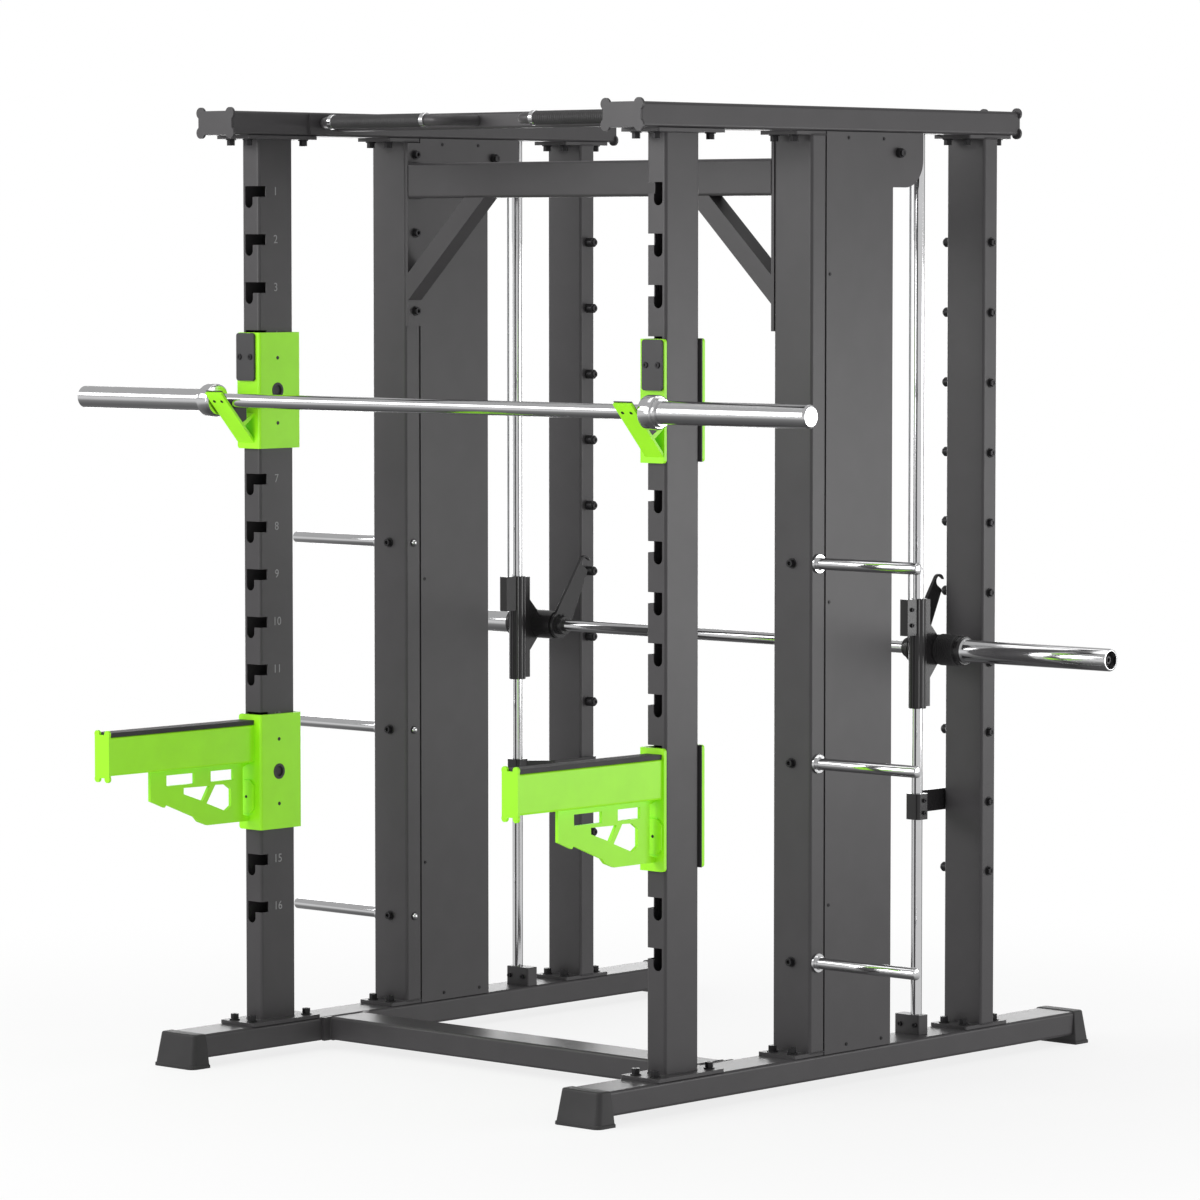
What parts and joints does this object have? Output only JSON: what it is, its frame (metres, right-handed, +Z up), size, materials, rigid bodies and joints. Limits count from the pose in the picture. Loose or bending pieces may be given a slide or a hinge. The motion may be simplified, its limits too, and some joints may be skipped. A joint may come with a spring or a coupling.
{
  "type": "smith machine",
  "caption": "Rack with a counterbalanced bar guided on two upright rods, a free barbell on hooks at the front, spotter arms, pull-up handles and disc storage pegs.",
  "frame": {"origin": "on the floor, at the centre of the outer box seen from above", "axes": "+X across the machine along the bars, +Y to the back, +Z up"},
  "size_m": [2.2, 1.91, 2.159],
  "materials": {
    "charcoal_steel": "satin powder coat",
    "green_steel": "satin powder coat",
    "chrome_steel": "polished",
    "bright_steel": "machined",
    "black_oxide_steel": "black oxide",
    "black_rubber": "matt",
    "pale_ink": "screen print on the front uprights",
    "black_plastic": "satin",
    "black_iron": "painted",
    "bronze_bush": "sintered"
  },
  "bodies": {
    "frame": {"base_rail_left": "charcoal_steel", "base_rail_right": "charcoal_steel", "cable_back_left": "bright_steel", "cable_back_right": "bright_steel", "cable_front_left": "bright_steel", "cable_front_right": "bright_steel", "cable_tops": "bright_steel", "disc_pegs_left": "chrome_steel", "disc_pegs_right": "chrome_steel", "floor_crossmember": "charcoal_steel", "frame_bolts": "black_oxide_steel", "front_upright_left": "charcoal_steel", "front_upright_right": "charcoal_steel", "guide_rod_left": "chrome_steel", "guide_rod_right": "chrome_steel", "housing_left": "charcoal_steel", "housing_right": "charcoal_steel", "lock_pegs_left": "black_oxide_steel", "lock_pegs_right": "black_oxide_steel", "middle_upright_left": "charcoal_steel", "middle_upright_right": "charcoal_steel", "pull_up_frame": "charcoal_steel", "pull_up_grips": "black_rubber", "pull_up_rings": "chrome_steel", "pulley_axles": "black_oxide_steel", "rear_upright_left": "charcoal_steel", "rear_upright_right": "charcoal_steel", "rod_blocks": "charcoal_steel", "rubber_feet": "black_rubber", "top_beam_left": "charcoal_steel", "top_beam_right": "charcoal_steel", "upper_crossmember": "charcoal_steel"},
    "carriage": {"carriage_left": "charcoal_steel", "carriage_right": "charcoal_steel", "carriage_bushes": "bronze_bush"},
    "smith_bar": {"smith_bar_shaft": "chrome_steel", "smith_bar_sleeves": "chrome_steel", "bar_end_screws": "black_oxide_steel", "lock_hook_left": "charcoal_steel", "lock_hook_right": "charcoal_steel"},
    "barbell": {"barbell_shaft": "chrome_steel"},
    "counterweight_left": {"counterweight_left": "black_iron"},
    "pulley_back_left": {"pulley_back_left": "black_plastic"},
    "pulley_front_left": {"pulley_front_left": "black_plastic"},
    "j_hook_left": {"j_hook_left": "green_steel", "j_hook_pads_left": "black_plastic"},
    "barbell_sleeve_left": {"barbell_sleeve_left": "chrome_steel"},
    "spotter_left": {"spotter_arm_left": "green_steel", "spotter_pads_left": "black_rubber"},
    "safety_stop_left": {"safety_stop_left": "charcoal_steel"},
    "counterweight_right": {"counterweight_right": "black_iron"},
    "pulley_back_right": {"pulley_back_right": "black_plastic"},
    "pulley_front_right": {"pulley_front_right": "black_plastic"},
    "j_hook_right": {"j_hook_right": "green_steel", "j_hook_pads_right": "black_plastic"},
    "barbell_sleeve_right": {"barbell_sleeve_right": "chrome_steel"},
    "spotter_right": {"spotter_arm_right": "green_steel", "spotter_pads_right": "black_rubber"},
    "safety_stop_right": {"safety_stop_right": "charcoal_steel"}
  },
  "joints": [
    {"name": "carriage_slide", "type": "slide", "parent": "frame", "child": "carriage", "axis": [0, 0, 1], "range_m": [-0.1582, 0.791], "deforming": ["cable_back_left", "cable_back_right"]},
    {"name": "bar_turn", "type": "hinge", "parent": "carriage", "child": "smith_bar", "pos_m": [0, 0.463, 0.9405], "axis": [1, 0, 0], "range_deg": [-12.5, 12]},
    {"name": "counterweight_slide_left", "type": "slide", "parent": "frame", "child": "counterweight_left", "axis": [0, 0, 1], "range_m": [-0.7911, 0.1583], "deforming": ["cable_front_left"]},
    {"name": "pulley_back_turn_left", "type": "hinge", "parent": "frame", "child": "pulley_back_left", "pos_m": [-0.615, 0.317, 2.046], "axis": [1, 0, 0], "range_deg": [-222, 1106]},
    {"name": "pulley_front_turn_left", "type": "hinge", "parent": "frame", "child": "pulley_front_left", "pos_m": [-0.615, 0.183, 2.046], "axis": [1, 0, 0], "range_deg": [-222, 1106]},
    {"name": "counterweight_slide_right", "type": "slide", "parent": "frame", "child": "counterweight_right", "axis": [0, 0, 1], "range_m": [-0.7911, 0.1583], "deforming": ["cable_front_right"]},
    {"name": "pulley_back_turn_right", "type": "hinge", "parent": "frame", "child": "pulley_back_right", "pos_m": [0.615, 0.317, 2.046], "axis": [1, 0, 0], "range_deg": [-222, 1106]},
    {"name": "pulley_front_turn_right", "type": "hinge", "parent": "frame", "child": "pulley_front_right", "pos_m": [0.615, 0.183, 2.046], "axis": [1, 0, 0], "range_deg": [-222, 1106]},
    {"name": "j_hook_lift_left", "type": "slide", "parent": "frame", "child": "j_hook_left", "axis": [0, 0, 1], "range_m": [0, 0.0245]},
    {"name": "j_hook_lift_right", "type": "slide", "parent": "frame", "child": "j_hook_right", "axis": [0, 0, 1], "range_m": [0, 0.0245]},
    {"name": "barbell_lift", "type": "slide", "parent": "j_hook_left", "child": "barbell", "axis": [0, 0, 1], "range_m": [0, 0.3]},
    {"name": "barbell_sleeve_turn_left", "type": "hinge", "parent": "barbell", "child": "barbell_sleeve_left", "pos_m": [-0.6765, -0.563, 1.499], "axis": [1, 0, 0], "continuous": true},
    {"name": "barbell_sleeve_turn_right", "type": "hinge", "parent": "barbell", "child": "barbell_sleeve_right", "pos_m": [0.6765, -0.563, 1.499], "axis": [1, 0, 0], "continuous": true},
    {"name": "spotter_lift_left", "type": "slide", "parent": "frame", "child": "spotter_left", "axis": [0, 0, 1], "range_m": [0, 0.0245]},
    {"name": "spotter_lift_right", "type": "slide", "parent": "frame", "child": "spotter_right", "axis": [0, 0, 1], "range_m": [0, 0.0245]},
    {"name": "safety_stop_swing_left", "type": "hinge", "parent": "frame", "child": "safety_stop_left", "pos_m": [-0.615, 0.389, 0.5904], "axis": [0, 0, 1], "range_deg": [-60, 0]},
    {"name": "safety_stop_swing_right", "type": "hinge", "parent": "frame", "child": "safety_stop_right", "pos_m": [0.615, 0.389, 0.5904], "axis": [0, 0, 1], "range_deg": [0, 60]}
  ],
  "couplings": [
    {"joint": "counterweight_slide_left", "follows": "carriage_slide", "ratio": -1},
    {"joint": "pulley_back_turn_left", "follows": "carriage_slide", "rad_per_m": 24.39},
    {"joint": "pulley_front_turn_left", "follows": "carriage_slide", "rad_per_m": 24.39},
    {"joint": "counterweight_slide_right", "follows": "carriage_slide", "ratio": -1},
    {"joint": "pulley_back_turn_right", "follows": "carriage_slide", "rad_per_m": 24.39},
    {"joint": "pulley_front_turn_right", "follows": "carriage_slide", "rad_per_m": 24.39},
    {"joint": "j_hook_lift_right", "follows": "j_hook_lift_left", "ratio": 1}
  ]
}
